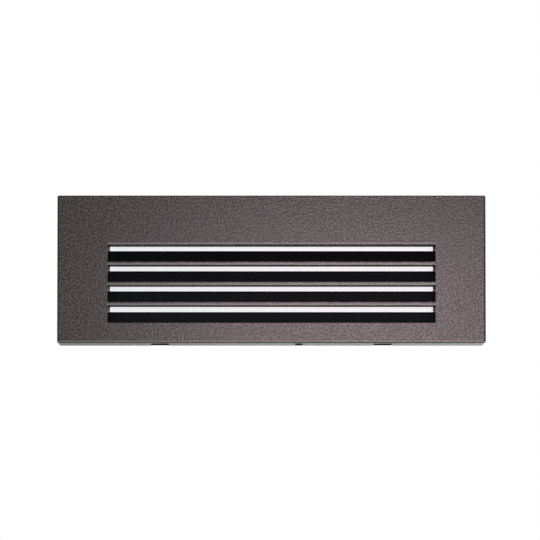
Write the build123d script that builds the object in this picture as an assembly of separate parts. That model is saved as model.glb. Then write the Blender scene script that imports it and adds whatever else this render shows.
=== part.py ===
"""Recessed louvred step light, in millimetres.

+X runs to the right along the plate, +Y into the wall and +Z up. The origin is the centre of the
faceplate's back edge. The wall's surface is behind a foam gasket. The faceplate assembly pulls out along -Y.
"""

import os
from math import atan2, cos, degrees

from build123d import *

# ---- Faceplate ----
face_width = 235.0
face_height = 82.55
rim_depth = 9.5
rim_wall = 3.0
front_wall = 3.75
side_draft = 1.2
end_draft = 0.2
corner_radius = 0.9
outer_edge_round = 0.45

# ---- Foam gasket behind the rim ----
wall_gap = 1.0
foam_inset = 0.4
foam_width = 2.6
foam_corner_radius = 1.0

# ---- Opening with its flush bars ----
opening_width = 179.8
opening_height = 43.8
opening_drop = 8.25
bar_count = 3
bar_height = 2.1
bar_pitch = 11.3
slot_edge_round = 0.25
top_lip_depth = 6.1
top_lip_wall = 2.5

# ---- Lower rim: weep and pry notches, lock screw ----
notch_width = 9.8
notch_depth = 6.2
notch_offset = 61.0
lock_offset = 15.0
lock_setback = 5.6
lock_radius = 2.35
lock_running_gap = 0.06
lock_length = 3.6
lock_recess = 1.1
lock_socket_width = 2.5
lock_socket_depth = 1.8
lock_cone = 1.05
lock_boss_height = 1.6
lock_boss_width = 10.0
lock_tip_gap = 0.3

# ---- Louver blades and cheeks ----
blade_run = 8.25
blade_rise = 8.45
blade_sheet = 1.0
cheek_sheet = 1.2
cheek_reach = 9.0
cheek_flange_width = 9.0
blade_tab_width = 5.0
blade_end_play = 0.1
cheek_side_gap = 0.05
tab_play = 0.1
fitting_gap = 0.3
cheek_lower_run = 3.15
cheek_step_run = 2.5
cheek_floor_gap = 1.2
cheek_screw_inset = 5.4
cheek_screw_margin = 8.5

# ---- Spring clips ----
clip_offset = 60.0
clip_width = 14.0
clip_sheet = 0.7
clip_reach = 7.2
clip_bow = 1.6
clip_grip_gap = 0.3
clip_crest = 3.25
clip_foot_bend = 1.2
clip_crest_bend = 3.0

# ---- Back box, conduit hubs and mounting ears ----
box_width = 194.0
box_height = 63.0
box_depth = 66.0
box_wall = 3.0
box_drop = 1.5
box_floor_flat = 28.0
box_floor_rise = 13.0
box_edge_round = 3.0
box_inner_round = 2.0
hub_radius = 15.0
hub_length = 14.0
hub_bore_radius = 9.15
hub_nipple_radius = 12.0
hub_chamfer = 0.8
hub_back_offset = 19.0
hub_height = 5.0
plug_recess = 0.8
plug_length = 12.0
plug_socket_width = 9.6
plug_socket_depth = 7.0
ear_end_gap = 0.9
ear_height = 16.0
ear_sheet = 2.0
ear_foot = 13.5
ear_corner_radius = 2.0
ear_hole_radius = 2.5
ear_hole_shift = 0.3
ear_screw_reach = 8.5
ear_drop = 22.0
tongue_width = 14.0
tongue_height = 3.5
tongue_root = 6.0
front_gap = 0.45

# ---- Light module: frame, lens, gasket, tray ----
module_setback = 8.5
module_gap = 0.6
module_corner_radius = 2.6
frame_sheet = 1.5
frame_window_radius = 1.2
lens_thickness = 4.0
lens_side_margin = 2.4
lens_lap = 1.2
lens_end_lap = 2.95
lens_corner_radius = 2.0
lens_chamfer = 0.4
gasket_thickness = 1.5
gasket_width = 3.0
gasket_inner_radius = 1.0
tray_flange = 2.0
tray_wall = 1.5
tray_floor = 2.0
tray_corner_radius = 2.5
tray_inner_radius = 1.0
post_radius = 3.6
post_inset_side = 10.0
post_length = 22.0
spacer_radius = 3.0
spacer_clearance = 0.4

# ---- Reflector and light board ----
reflector_wall = 1.0
reflector_taper = 12.0
reflector_gap = 0.4
reflector_corner_radius = 1.0
board_length = 160.0
board_width = 22.0
board_thickness = 1.6
board_screw_outer = 70.4
board_screw_inner = 8.0
board_screw_rise = 6.2
led_count = 10
led_pitch = 15.6
led_size = 3.0
led_height = 0.7
led_drop = 2.6
led_window_radius = 3.6

# ---- Driver, terminals and leads ----
driver_length = 100.0
driver_height = 22.0
driver_depth = 20.0
driver_back_gap = 5.0
driver_corner_radius = 2.0
driver_centre = -28.0
driver_lift = 6.5
driver_tab_length = 8.0
driver_tab_sheet = 2.0
driver_tab_height = 12.0
driver_left_screw = 4.0
driver_right_screw = 3.0
terminal_length = 24.0
terminal_height = 18.0
terminal_depth = 13.0
terminal_centre = 54.0
terminal_poles = 3
terminal_pole_pitch = 6.4
terminal_entry_radius = 1.7
terminal_entry_depth = 8.0
terminal_entry_rise = 7.8
terminal_screw_margin = 4.0
connector_length = 8.0
connector_height = 6.0
connector_depth = 6.0
connector_centre = 34.0
lead_radius = 0.9
lead_bend = 3.0
lead_reach = 5.0
lead_insertion = 2.0
board_lead_rise = 13.0
input_lead_rise = 17.0
ground_post_radius = 4.0
ground_post_height = 5.0
ground_centre = 56.0
ground_drop = 9.0
ring_radius = 4.2
ring_sheet = 0.8
ring_overlap = 0.5
ring_wire_lift = 0.27

# ---- Screws ----
thread_play = 0.05
frame_screw = dict(shank=1.75, head=3.05, head_height=2.0, length=16.0)
plate_screw = dict(shank=1.25, head=2.4, head_height=1.5, length=3.5)
screw_tip_gap = 0.1
board_screw_length = reflector_wall + board_thickness + tray_floor - screw_tip_gap
board_screw = dict(shank=1.5, head=2.8, head_height=1.8, length=board_screw_length)
back_screw = dict(shank=1.5, head=2.8, head_height=1.8, length=driver_tab_sheet + tray_floor - screw_tip_gap)
ear_screw = dict(shank=1.5, head=2.8, head_height=1.8, length=ear_sheet + box_wall - screw_tip_gap)
ground_screw_size = dict(shank=1.75, head=3.4, head_height=2.2, length=6.0)
recess_reach = 0.6
recess_half_width = 0.13
recess_depth = 0.6

# ---- Derived places ----
cut_over = 1.0
find_play = 0.1
face_front = -rim_depth
face_back = face_front + front_wall
half_width = face_width / 2
half_height = face_height / 2
opening_half = opening_width / 2
opening_top = opening_height / 2 - opening_drop
opening_bottom = opening_top - opening_height
bar_centres = [-opening_drop + bar_pitch * ((bar_count - 1) / 2 - n) for n in range(bar_count)]
bar_tops = [z + bar_height / 2 for z in bar_centres]
hollow_half_width = half_width - side_draft - rim_wall
hollow_half_height = half_height - end_draft - rim_wall
rim_underside = -half_height
blade_feet = bar_tops + [opening_bottom]
blade_angle = atan2(blade_rise, blade_run)
cheek_inside = opening_half + cheek_side_gap
cheek_outside = cheek_inside + cheek_sheet
cheek_back = face_back + cheek_reach
box_half = box_width / 2
box_top = box_height / 2 - box_drop
box_bottom = box_top - box_height
inner_half = box_half - box_wall
inner_top = box_top - box_wall
inner_bottom = box_bottom + box_wall
inner_back = box_depth - box_wall
hub_depth = box_depth - hub_back_offset
hub_end = box_half + hub_length
ear_length = hollow_half_width - box_half - ear_end_gap
ear_setback = wall_gap - ear_sheet
ear_back = wall_gap
ear_hole_offset = box_half + ear_length / 2 + ear_hole_shift
ear_screw_y = ear_setback + ear_screw_reach
box_middle = (inner_top + inner_bottom) / 2
frame_back = module_setback + frame_sheet
lens_back = frame_back + lens_thickness
flange_front = lens_back + gasket_thickness
flange_back = flange_front + tray_flange
pan_back = inner_back - driver_back_gap - driver_depth
pan_front = pan_back - tray_floor
module_half = inner_half - module_gap
module_top = inner_top - module_gap
module_bottom = inner_bottom + module_gap
lens_half = inner_half - lens_side_margin
lens_end_margin = post_radius + spacer_radius + spacer_clearance
lens_top = inner_top - lens_end_margin
lens_bottom = inner_bottom + lens_end_margin
post_places = [
    (side * (inner_half - post_inset_side), z)
    for side in (-1, 1)
    for z in (inner_bottom + post_radius, inner_top - post_radius)
]
board_front = pan_front - board_thickness
driver_middle = box_middle + driver_lift


def block(x0, x1, y0, y1, z0, z1):
    """A rectangular block between two opposite corners."""
    return Pos((x0 + x1) / 2, (y0 + y1) / 2, (z0 + z1) / 2) * Box(x1 - x0, y1 - y0, z1 - z0)


def plate(x0, x1, z0, z1, y0, y1, radius):
    """A plate that faces along Y, with rounded corners."""
    outline = RectangleRounded(x1 - x0, z1 - z0, radius)
    return Pos((x0 + x1) / 2, y1, (z0 + z1) / 2) * Rot(90, 0, 0) * extrude(outline, y1 - y0)


def rod_x(y, z, radius, x0, x1):
    return Pos((x0 + x1) / 2, y, z) * Rot(0, 90, 0) * Cylinder(radius, x1 - x0)


def rod_y(x, z, radius, y0, y1):
    return Pos(x, (y0 + y1) / 2, z) * Rot(90, 0, 0) * Cylinder(radius, y1 - y0)


def rod_z(x, y, radius, z0, z1):
    return Pos(x, y, (z0 + z1) / 2) * Cylinder(radius, z1 - z0)


def prism_x(points, x0, x1):
    """A prism along X over an outline of (y, z) points."""
    side = Plane(origin=(x0, 0, 0), x_dir=(0, 1, 0), z_dir=(1, 0, 0))
    return extrude(side * make_face(Polyline(*points, close=True)), x1 - x0)


def pan_screw(x, z, seat, inward, shank, head, head_height, length):
    """A pan head screw along Y. inward is 1 when its tip points to +Y, and -1 when it points to -Y."""
    tip = seat + inward * length
    top = seat - inward * head_height
    screw = rod_y(x, z, shank, min(seat, tip), max(seat, tip))
    screw += rod_y(x, z, head, min(seat, top), max(seat, top))
    slot_floor = top + inward * head_height * recess_depth
    low, high = min(top, slot_floor), max(top, slot_floor)
    arm, half_slot = head * recess_reach, head * recess_half_width
    screw -= block(x - arm, x + arm, low, high, z - half_slot, z + half_slot)
    screw -= block(x - half_slot, x + half_slot, low, high, z - arm, z + arm)
    return screw


# ---- Faceplate assembly ----
plate_screw_hole = plate_screw["shank"] + thread_play
plate_screw_bite = plate_screw["length"] - clip_sheet + fitting_gap
cheek_screw_x = opening_half + cheek_screw_inset
cheek_top = opening_top - fitting_gap
cheek_screw_places = [
    (side * cheek_screw_x, z)
    for side in (-1, 1)
    for z in (cheek_top - cheek_screw_margin, opening_bottom + cheek_screw_margin)
]
clip_top = inner_top - clip_grip_gap
clip_foot_bottom = opening_top + top_lip_wall + fitting_gap
clip_screw_z = (clip_foot_bottom + clip_top - clip_bow) / 2
clip_screw_places = [(side * clip_offset, clip_screw_z) for side in (-1, 1)]
lock_y = face_front + lock_setback
lock_bottom = rim_underside + lock_recess
lock_top = lock_bottom + lock_length
lock_boss_top = -hollow_half_height + lock_boss_height
tongue_bottom = lock_top + lock_tip_gap


def slot_heights():
    """The (bottom, top) of each slot between the bars, from the top one down."""
    tops = [opening_top] + [z - bar_height / 2 for z in bar_centres]
    return list(zip(blade_feet, tops))


def make_faceplate():
    rear_half_width, rear_half_height = half_width - side_draft, half_height - end_draft
    plan = [
        (-half_width, face_front),
        (half_width, face_front),
        (rear_half_width, 0),
        (-rear_half_width, 0),
    ]
    casting = Pos(0, 0, -face_height) * extrude(make_face(Polyline(*plan, close=True)), 2 * face_height)
    profile = [
        (face_front, -half_height),
        (0, -rear_half_height),
        (0, rear_half_height),
        (face_front, half_height),
    ]
    casting = casting & prism_x(profile, -face_width, face_width)
    corners = [edge for edge in casting.edges() if face_front + find_play < edge.center().Y < -find_play]
    casting = fillet(corners, corner_radius)
    front_edges = casting.faces().sort_by(Axis.Y)[0].edges()
    casting = fillet(front_edges, outer_edge_round)
    casting -= block(
        -hollow_half_width, hollow_half_width, face_back, cut_over, -hollow_half_height, hollow_half_height
    )
    lip_back, lip_top = face_front + top_lip_depth, opening_top + top_lip_wall
    casting += block(-opening_half, opening_half, face_back, lip_back, opening_top, lip_top)
    for low, high in slot_heights():
        casting -= block(-opening_half, opening_half, face_front - cut_over, face_back + cut_over, low, high)
    slot_edges = [
        edge
        for edge in casting.edges().filter_by_position(Axis.Y, face_front, face_front)
        if abs(edge.center().X) <= opening_half + find_play
        and opening_bottom - find_play <= edge.center().Z <= opening_top + find_play
    ]
    casting = fillet(slot_edges, slot_edge_round)
    for side in (-1, 1):
        middle = side * notch_offset
        casting -= block(
            middle - notch_width / 2,
            middle + notch_width / 2,
            -notch_depth,
            cut_over,
            -half_height - cut_over,
            -hollow_half_height,
        )
    casting += block(
        lock_offset - lock_boss_width / 2,
        lock_offset + lock_boss_width / 2,
        face_back,
        -fitting_gap,
        -hollow_half_height,
        lock_boss_top,
    )
    lock_hole = lock_radius + lock_running_gap
    casting -= rod_z(lock_offset, lock_y, lock_hole, -half_height - cut_over, lock_boss_top + cut_over)
    for x, z in cheek_screw_places + clip_screw_places:
        casting -= rod_y(x, z, plate_screw_hole, face_back - plate_screw_bite, face_back)
    return casting


def blade_outline(foot):
    """A blade's section: it leans back from its foot on the bar, with upright ends."""
    drop = blade_sheet / cos(blade_angle)
    back = face_back + blade_run
    return [
        (face_back, foot),
        (back, foot + blade_rise),
        (back, foot + blade_rise - drop),
        (face_back, foot - drop),
    ]


def make_foam_gasket():
    """A black foam ring on the back of the rim, pressed against the wall."""
    across, up = half_width - side_draft - foam_inset, half_height - end_draft - foam_inset
    ring = plate(-across, across, -up, up, 0, wall_gap, foam_corner_radius)
    across, up = across - foam_width, up - foam_width
    return ring - block(-across, across, -cut_over, wall_gap + cut_over, -up, up)


def tab_block(foot, along, through, reach):
    """The block of a blade's end tab, centred in the blade's sheet, from its half sizes."""
    drop = blade_sheet / cos(blade_angle)
    centre_y = face_back + blade_run / 2
    centre_z = foot + blade_rise / 2 - drop / 2
    tilt = Rot(degrees(blade_angle), 0, 0)
    return Pos(0, centre_y, centre_z) * tilt * Box(2 * reach, 2 * along, 2 * through)


def make_blade(foot):
    half = opening_half - blade_end_play
    blade = prism_x(blade_outline(foot), -half, half)
    return blade + tab_block(foot, blade_tab_width / 2, blade_sheet / 2, cheek_outside)


def make_cheek(side):
    bottom = opening_bottom - blade_sheet / cos(blade_angle)
    clear_bottom = inner_bottom + cheek_floor_gap
    step = face_back + cheek_lower_run
    outline = [
        (face_back, bottom),
        (step, bottom),
        (min(step + cheek_step_run, -fitting_gap), clear_bottom),
        (cheek_back, clear_bottom),
        (cheek_back, cheek_top),
        (face_back, cheek_top),
    ]
    inner, outer = sorted((side * cheek_inside, side * cheek_outside))
    cheek = prism_x(outline, inner, outer)
    flange_low = opening_bottom + fitting_gap
    near, far = sorted((side * cheek_inside, side * (opening_half + cheek_flange_width)))
    cheek += block(near, far, face_back, face_back + cheek_sheet, flange_low, cheek_top)
    for foot in blade_feet:
        slot = tab_block(foot, blade_tab_width / 2 + tab_play, blade_sheet / 2 + tab_play, half_width)
        cheek -= slot & block(inner - cut_over, outer + cut_over, face_back, cheek_back, bottom, cheek_top)
    for x, z in cheek_screw_places:
        if x * side > 0:
            cheek -= rod_y(x, z, plate_screw_hole, face_back - cut_over, face_back + cheek_sheet + cut_over)
    return cheek


def make_clip(side):
    """A leaf spring: a foot on the plate's back and a bowed leg that grips the mouth's roof."""
    half_sheet = clip_sheet / 2
    foot_y = face_back + half_sheet
    low = clip_top - clip_bow
    leg = FilletPolyline(
        (foot_y, clip_foot_bottom),
        (foot_y, low - half_sheet),
        (clip_crest, clip_top - half_sheet),
        (clip_reach, low - half_sheet),
        radius=[clip_foot_bend, clip_crest_bend],
    )
    upright = Plane(origin=(0, 0, 0), x_dir=(0, 1, 0), z_dir=(1, 0, 0))
    strip = upright * trace(leg, clip_sheet)
    middle = side * clip_offset
    clip = Pos(middle - clip_width / 2, 0, 0) * extrude(strip, clip_width, dir=(1, 0, 0))
    foot_back = face_back + clip_sheet
    return clip - rod_y(middle, clip_screw_z, plate_screw_hole, face_back - cut_over, foot_back + cut_over)


def make_lock_screw():
    """A socket set screw, turned from below, with a cone tip under the box's tongue."""
    screw = rod_z(lock_offset, lock_y, lock_radius, lock_bottom, lock_top)
    screw = chamfer(screw.faces().sort_by(Axis.Z)[-1].edges(), lock_cone)
    socket = RegularPolygon(lock_socket_width / 2, 6, major_radius=False)
    return screw - Pos(lock_offset, lock_y, lock_bottom) * extrude(socket, lock_socket_depth)


# ---- Back box ----
def box_profile(inset):
    """The box's side view: level floor at the mouth, then rising so that water runs to the front."""
    back = box_depth - inset
    bend = box_floor_flat
    floor = box_bottom + inset
    rise = box_floor_rise * (back - bend) / (box_depth - bend)
    return [(0, floor), (bend, floor), (back, floor + rise), (back, box_top - inset), (0, box_top - inset)]


def make_back_box():
    body = prism_x(box_profile(0), -box_half, box_half)
    rounded = [edge for edge in body.edges() if edge.center().Y > find_play]
    body = fillet(rounded, box_edge_round)
    tongue_left, tongue_right = lock_offset - tongue_width / 2, lock_offset + tongue_width / 2
    tongue_front = face_back + front_gap
    body += block(
        tongue_left, tongue_right, tongue_front, tongue_root, tongue_bottom, tongue_bottom + tongue_height
    )
    body += block(tongue_left, tongue_right, 0, tongue_root, tongue_bottom, box_bottom + box_wall / 2)
    inside = prism_x(box_profile(box_wall), -inner_half, inner_half)
    body -= fillet(inside.edges().filter_by(Axis.Y), box_inner_round)
    for x, z in post_places:
        outward = 1 if z > box_middle else -1
        wall_z = inner_top if outward > 0 else inner_bottom
        post = rod_y(x, z, post_radius, flange_back, flange_back + post_length)
        low, high = sorted((z, wall_z + outward * box_wall / 2))
        post += block(x - post_radius, x + post_radius, flange_back, flange_back + post_length, low, high)
        body += post & prism_x(box_profile(box_wall / 2), -box_half, box_half)
        hole_end = module_setback + frame_screw["length"] + cut_over
        body -= rod_y(x, z, frame_screw["shank"] + thread_play, flange_back - cut_over, hole_end)
    body += rod_y(ground_centre, ground_z, ground_post_radius, ground_face, inner_back + box_wall / 2)
    ground_hole_end = ground_face + ground_screw_size["length"]
    body -= rod_y(ground_centre, ground_z, ground_hole, ground_face - cut_over, ground_hole_end)
    for side in (-1, 1):
        near, far = sorted((side * (inner_half - cut_over), side * (box_half + cut_over)))
        body -= rod_x(hub_depth, hub_height, hub_nipple_radius + thread_play, near, far)
        body -= rod_x(ear_screw_y, -ear_drop, ear_screw["shank"] + thread_play, near, far)
    return body


def make_hub(side):
    """A conduit hub: a threaded ring outside the box's end wall, with a nipple through the wall."""
    wall, end = side * box_half, side * hub_end
    ring = rod_x(hub_depth, hub_height, hub_radius, min(wall, end), max(wall, end))
    rim = ring.edges().filter_by(GeomType.CIRCLE).sort_by(Axis.X)[-1 if side > 0 else 0]
    ring = chamfer(rim, hub_chamfer)
    near, far = sorted((side * inner_half, wall))
    ring += rod_x(hub_depth, hub_height, hub_nipple_radius, near, far)
    near, far = sorted((side * (inner_half - cut_over), side * (hub_end + cut_over)))
    return ring - rod_x(hub_depth, hub_height, hub_bore_radius, near, far)


def make_conduit_plug():
    """A flush pipe plug with a hexagon socket, in the left hub."""
    outer = -hub_end + plug_recess
    plug = rod_x(hub_depth, hub_height, hub_bore_radius - thread_play, outer, outer + plug_length)
    facing = Plane(origin=(outer, hub_depth, hub_height), x_dir=(0, 1, 0), z_dir=(1, 0, 0))
    socket = RegularPolygon(plug_socket_width / 2, 6, major_radius=False)
    return plug - extrude(facing * socket, plug_socket_depth)


def make_ear(side):
    """A bent strap that holds the box in the wall: its foot lies on the end wall, its tab faces the room."""
    low, high = -ear_drop - ear_height / 2, -ear_drop + ear_height / 2
    near, far = sorted((side * box_half, side * (box_half + ear_length)))
    tab = block(near, far, ear_setback, ear_back, low, high)
    corners = tab.edges().filter_by(Axis.Y).sort_by(Axis.X)
    tab = fillet(corners[-2:] if side > 0 else corners[:2], ear_corner_radius)
    near, far = sorted((side * box_half, side * (box_half + ear_sheet)))
    ear = tab + block(near, far, ear_setback, ear_setback + ear_foot, low, high)
    hole_x = side * ear_hole_offset
    ear -= rod_y(hole_x, -ear_drop, ear_hole_radius, ear_setback - cut_over, ear_back + cut_over)
    hole = ear_screw["shank"] + thread_play
    return ear - rod_x(ear_screw_y, -ear_drop, hole, near - cut_over, far + cut_over)


def make_ear_screw(side):
    """A pan head screw along X, from the ear's foot into the box's end wall."""
    screw = Rot(0, 0, side * 90) * pan_screw(0, 0, 0, 1, **ear_screw)
    return Pos(side * (box_half + ear_sheet), ear_screw_y, -ear_drop) * screw


# ---- Light module ----
def lens_window(inset, y0, y1, radius, end_inset=None):
    """The lens's outline as a plate, made smaller all round by inset, or by end_inset at its two ends."""
    half = lens_half - (inset if end_inset is None else end_inset)
    return plate(-half, half, lens_bottom + inset, lens_top - inset, y0, y1, radius)


def make_lens_frame():
    frame = plate(
        -module_half, module_half, module_bottom, module_top, module_setback, frame_back, module_corner_radius
    )
    front, back = module_setback - cut_over, frame_back + cut_over
    frame -= lens_window(lens_lap, front, back, frame_window_radius, lens_end_lap)
    for x, z in post_places:
        frame += rod_y(x, z, spacer_radius, frame_back, flange_front)
        hole = frame_screw["shank"] + thread_play
        frame -= rod_y(x, z, hole, module_setback - cut_over, flange_front + cut_over)
    return frame


def make_lens():
    lens = lens_window(0, frame_back, lens_back, lens_corner_radius)
    front = lens.faces().sort_by(Axis.Y)[0]
    return chamfer(front.edges(), lens_chamfer)


def make_gasket():
    ring = lens_window(0, lens_back, flange_front, lens_corner_radius)
    low, high = lens_back - cut_over, flange_front + cut_over
    return ring - lens_window(gasket_width, low, high, gasket_inner_radius)


def make_tray():
    """A deep aluminium pan: its flange is clamped to the box's posts, its floor carries the board."""
    tray = plate(
        -module_half, module_half, module_bottom, module_top, flange_front, flange_back, module_corner_radius
    )
    tray += lens_window(gasket_width - tray_wall, flange_back, pan_back, tray_corner_radius)
    tray -= lens_window(gasket_width, flange_front - cut_over, pan_front, tray_inner_radius)
    for x, z in post_places:
        hole = frame_screw["shank"] + thread_play
        tray -= rod_y(x, z, hole, flange_front - cut_over, flange_back + cut_over)
    for x, z in board_screw_places:
        hole = board_screw["shank"] + thread_play
        tray -= rod_y(x, z, hole, pan_front - cut_over, pan_back + cut_over)
    for x, z in driver_screw_places + terminal_screw_places:
        hole = back_screw["shank"] + thread_play
        tray -= rod_y(x, z, hole, pan_front - cut_over, pan_back + cut_over)
    half_length = connector_length / 2 + fitting_gap
    half_up = connector_height / 2 + fitting_gap
    tray -= block(
        connector_centre - half_length,
        connector_centre + half_length,
        pan_front - cut_over,
        pan_back + cut_over,
        box_middle - half_up,
        box_middle + half_up,
    )
    return tray


board_screw_places = [
    (side * reach, box_middle + board_screw_rise)
    for side in (-1, 1)
    for reach in (board_screw_outer, board_screw_inner)
]
led_places = [(led_pitch * (n - (led_count - 1) / 2), box_middle - led_drop) for n in range(led_count)]


def make_reflector():
    """A white tapered liner with a window for each light source."""

    def taper_block(inset, y0, y1):
        across, up = 2 * (lens_half - inset), lens_top - lens_bottom - 2 * inset
        section = RectangleRounded(across, up, reflector_corner_radius)
        facing = Plane(origin=(0, y0, box_middle), x_dir=(1, 0, 0), z_dir=(0, 1, 0))
        return extrude(facing * section, y1 - y0, taper=reflector_taper)

    liner_front = flange_front + fitting_gap
    floor_front = board_front - reflector_wall
    outer_inset = gasket_width + reflector_gap
    liner = taper_block(outer_inset, liner_front, board_front)
    liner -= taper_block(outer_inset + reflector_wall, liner_front, floor_front)
    for x, z in led_places:
        liner -= rod_y(x, z, led_window_radius, floor_front - cut_over, board_front + cut_over)
    for x, z in board_screw_places:
        hole = board_screw["shank"] + 4 * thread_play
        liner -= rod_y(x, z, hole, floor_front - cut_over, board_front + cut_over)
    return liner


def make_led_board():
    half_length, half_up = board_length / 2, board_width / 2
    low, high = box_middle - half_up, box_middle + half_up
    board = block(-half_length, half_length, board_front, pan_front, low, high)
    for x, z in board_screw_places:
        hole = board_screw["shank"] + thread_play
        board -= rod_y(x, z, hole, board_front - cut_over, pan_front + cut_over)
    return board


def make_leds():
    half = led_size / 2
    dies = [
        block(x - half, x + half, board_front - led_height, board_front, z - half, z + half)
        for x, z in led_places
    ]
    return Compound(children=dies)


def make_board_connector():
    """A plug that reaches the back of the board through the tray's floor."""
    half_length, half_up = connector_length / 2, connector_height / 2
    return block(
        connector_centre - half_length,
        connector_centre + half_length,
        pan_front,
        pan_front + connector_depth,
        box_middle - half_up,
        box_middle + half_up,
    )


# ---- Driver and terminals ----
driver_left = driver_centre - driver_length / 2
driver_right = driver_centre + driver_length / 2
driver_screw_places = [
    (driver_left - driver_left_screw, driver_middle),
    (driver_right + driver_right_screw, driver_middle),
]
terminal_back = pan_back + terminal_depth
terminal_left = terminal_centre - terminal_length / 2
terminal_right = terminal_centre + terminal_length / 2
terminal_low = driver_middle - terminal_height / 2
entry_y = pan_back + terminal_entry_rise
terminal_screw_places = [(terminal_centre, terminal_low + terminal_height - terminal_screw_margin)]
ground_z = box_middle - ground_drop
ground_face = inner_back - ground_post_height
ground_hole = ground_screw_size["shank"] + thread_play
pole_places = [
    driver_middle + terminal_pole_pitch * (n - (terminal_poles - 1) / 2) for n in range(terminal_poles)
]


def make_driver():
    low, high = driver_middle - driver_height / 2, driver_middle + driver_height / 2
    case = block(driver_left, driver_right, pan_back, pan_back + driver_depth, low, high)
    case = fillet(case.edges().filter_by(Axis.Y), driver_corner_radius)
    tabs = block(
        driver_left - driver_tab_length,
        driver_right + driver_tab_length,
        pan_back,
        pan_back + driver_tab_sheet,
        driver_middle - driver_tab_height / 2,
        driver_middle + driver_tab_height / 2,
    )
    case += tabs
    for x, z in driver_screw_places:
        hole = back_screw["shank"] + thread_play
        case -= rod_y(x, z, hole, pan_back - cut_over, pan_back + driver_tab_sheet + cut_over)
    return case


def make_terminal_block():
    """A push-in terminal block: one wire entry a pole on each side, and one fixing hole."""
    terminal_high = terminal_low + terminal_height
    body = block(terminal_left, terminal_right, pan_back, terminal_back, terminal_low, terminal_high)
    for z in pole_places:
        for end, inward in ((terminal_left, 1), (terminal_right, -1)):
            near, far = sorted((end - inward * cut_over, end + inward * terminal_entry_depth))
            body -= rod_x(entry_y, z, terminal_entry_radius, near, far)
    x, z = terminal_screw_places[0]
    seat = pan_back + driver_tab_sheet
    body -= rod_y(x, z, back_screw["shank"] + thread_play, pan_back - cut_over, seat + cut_over)
    body -= rod_y(x, z, back_screw["head"] + 3 * thread_play, seat, terminal_back + cut_over)
    return body


def lead(points, radius=lead_bend):
    """A round lead along straight runs joined by arcs."""
    path = FilletPolyline(*points, radius=radius)
    start = Plane(origin=path @ 0, z_dir=path % 0)
    return sweep(start * Circle(lead_radius), path=path)


def make_board_lead(step):
    """A lead from the driver's end round to the back of the board connector."""
    far_y = pan_back + board_lead_rise
    end_x = connector_centre + step * connector_length / 4
    z = box_middle + step * connector_height / 4
    return lead([(driver_right, far_y, z), (end_x, far_y, z), (end_x, pan_front + connector_depth, z)])


def make_input_lead(pole):
    """A lead from one pole of the terminal block straight across to the driver's end."""
    z = pole_places[pole]
    bend_x = (driver_right + terminal_left) / 2
    far_y = pan_back + input_lead_rise
    return lead([
        (driver_right, far_y, z),
        (bend_x, far_y, z),
        (bend_x, entry_y, z),
        (terminal_left + lead_insertion, entry_y, z),
    ], radius=lead_bend / 2)


def make_ground_lead():
    """The green lead: a ring under the ground screw, and a wire up into the lowest pole."""
    ring = rod_y(ground_centre, ground_z, ring_radius, ground_face - ring_sheet, ground_face)
    ring_front = ground_face - ring_sheet
    ring -= rod_y(ground_centre, ground_z, ground_hole, ring_front - cut_over, ground_face + cut_over)
    ring_y = ring_front - ring_wire_lift
    reach_x = terminal_right + lead_reach
    low_z = pole_places[0]
    wire = lead([
        (ground_centre + ring_radius - ring_overlap, ring_y, ground_z),
        (reach_x, ring_y, ground_z),
        (reach_x, entry_y, ground_z),
        (reach_x, entry_y, low_z),
        (terminal_right - lead_insertion, entry_y, low_z),
    ])
    return ring + wire


def screws_at(places, seat, inward, size):
    """One pan head screw along Y at each place."""
    return Compound(children=[pan_screw(x, z, seat, inward, **size) for x, z in places])


def main():
    os.makedirs("parts", exist_ok=True)
    nodes = {"faceplate": make_faceplate()}
    for number, foot in enumerate(blade_feet, start=1):
        nodes[f"louver_blade_{number}"] = make_blade(foot)
    nodes["foam_gasket"] = make_foam_gasket()
    nodes["left_louver_cheek"] = make_cheek(-1)
    nodes["right_louver_cheek"] = make_cheek(1)
    nodes["left_spring_clip"] = make_clip(-1)
    nodes["right_spring_clip"] = make_clip(1)
    nodes["louver_screws"] = screws_at(cheek_screw_places, face_back + cheek_sheet, -1, plate_screw)
    nodes["clip_screws"] = screws_at(clip_screw_places, face_back + clip_sheet, -1, plate_screw)
    nodes["lock_screw"] = make_lock_screw()
    nodes["back_box"] = make_back_box()
    nodes["left_conduit_hub"] = make_hub(-1)
    nodes["right_conduit_hub"] = make_hub(1)
    nodes["conduit_plug"] = make_conduit_plug()
    nodes["left_mounting_ear"] = make_ear(-1)
    nodes["right_mounting_ear"] = make_ear(1)
    nodes["ear_screws"] = Compound(children=[make_ear_screw(-1), make_ear_screw(1)])
    nodes["lens_frame"] = make_lens_frame()
    nodes["lens"] = make_lens()
    nodes["lens_gasket"] = make_gasket()
    nodes["light_tray"] = make_tray()
    nodes["frame_screws"] = screws_at(post_places, module_setback, 1, frame_screw)
    nodes["reflector"] = make_reflector()
    nodes["led_board"] = make_led_board()
    nodes["leds"] = make_leds()
    nodes["board_screws"] = screws_at(board_screw_places, board_front - reflector_wall, 1, board_screw)
    nodes["board_connector"] = make_board_connector()
    nodes["driver_case"] = make_driver()
    nodes["driver_screws"] = screws_at(driver_screw_places, pan_back + driver_tab_sheet, -1, back_screw)
    nodes["terminal_block"] = make_terminal_block()
    nodes["terminal_screw"] = screws_at(terminal_screw_places, pan_back + driver_tab_sheet, -1, back_screw)
    nodes["board_lead_red"] = make_board_lead(1)
    nodes["board_lead_black"] = make_board_lead(-1)
    nodes["input_lead_black"] = make_input_lead(2)
    nodes["input_lead_white"] = make_input_lead(1)
    nodes["ground_lead"] = make_ground_lead()
    ground_seat = ground_face - ring_sheet
    nodes["ground_screw"] = pan_screw(ground_centre, ground_z, ground_seat, 1, **ground_screw_size)
    for name, shape in nodes.items():
        export_step(shape, f"parts/{name}.step")


main()
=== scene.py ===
"""Looks of the recessed louvred step light: its finishes, its camera, its lights and its floor."""

import math

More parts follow.
